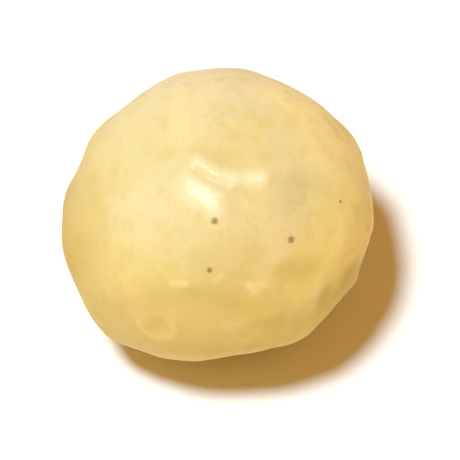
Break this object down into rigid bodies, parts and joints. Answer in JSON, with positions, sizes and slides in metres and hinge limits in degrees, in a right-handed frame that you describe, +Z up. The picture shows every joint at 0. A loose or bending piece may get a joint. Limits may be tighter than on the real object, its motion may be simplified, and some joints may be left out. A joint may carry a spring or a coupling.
{
  "type": "shelled macadamia nut kernel",
  "caption": "Whole shelled macadamia kernel, a pale cream rounded nut pressed softly flat on its sides, with a small germ tip on top and a small flat spot to rest on.",
  "frame": {"origin": "centre of the small flat spot that the kernel rests on", "axes": "+Z up, out of the top of the resting kernel; -Y towards the side that its germ tip leans to; +X to the right of that side, along the kernel's longest extent"},
  "size_m": [0.018, 0.0176, 0.0169],
  "materials": {
    "kernel_flesh": "waxy satin cream nut flesh, slightly oily on the tip, golden lower down, with a few brown specks"
  },
  "bodies": {
    "root": {"kernel": "kernel_flesh"}
  },
  "joints": []
}
